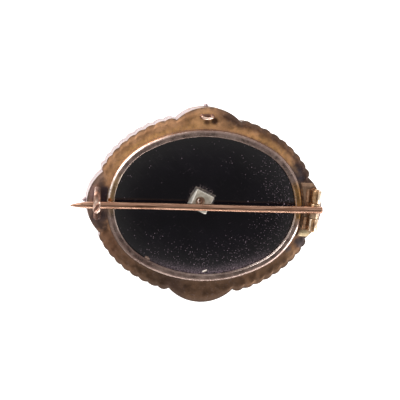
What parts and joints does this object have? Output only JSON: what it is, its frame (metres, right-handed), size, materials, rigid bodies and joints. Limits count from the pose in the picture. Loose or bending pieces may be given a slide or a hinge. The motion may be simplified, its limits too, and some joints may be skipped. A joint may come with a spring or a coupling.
{
  "type": "enamel brooch",
  "caption": "Oval gold brooch with a fluted, lobed border, a raised collar round a black enamel plaque, a hinged pin, a C catch and a chain eye, lying on its front",
  "frame": {"origin": "under the middle of the bounding box, on the plane that the front ridge lies on", "axes": "+X along the long axis from the catch to the hinge, +Y towards the chain eye, +Z out of the back"},
  "size_m": [0.0434, 0.0342, 0.0073],
  "materials": {
    "old_gold": "tarnished gold, satin",
    "hinge_gold": "polished yellow gold",
    "rose_gold": "worn rose gold wire",
    "white_metal": "filed nickel silver",
    "black_enamel": "glossy black enamel"
  },
  "bodies": {
    "brooch": {"frame": "old_gold", "enamel_plaque": "black_enamel", "centre_post": "old_gold", "square_nut": "white_metal", "hinge_rivet": "hinge_gold"},
    "pin": {"brooch_pin": "rose_gold"}
  },
  "joints": [
    {"name": "pin_hinge", "type": "hinge", "parent": "brooch", "child": "pin", "pos_m": [0.01997, -0.0002, 0.0054], "axis": [0.0698, 0.9976, 0], "range_deg": [0, 90]}
  ]
}
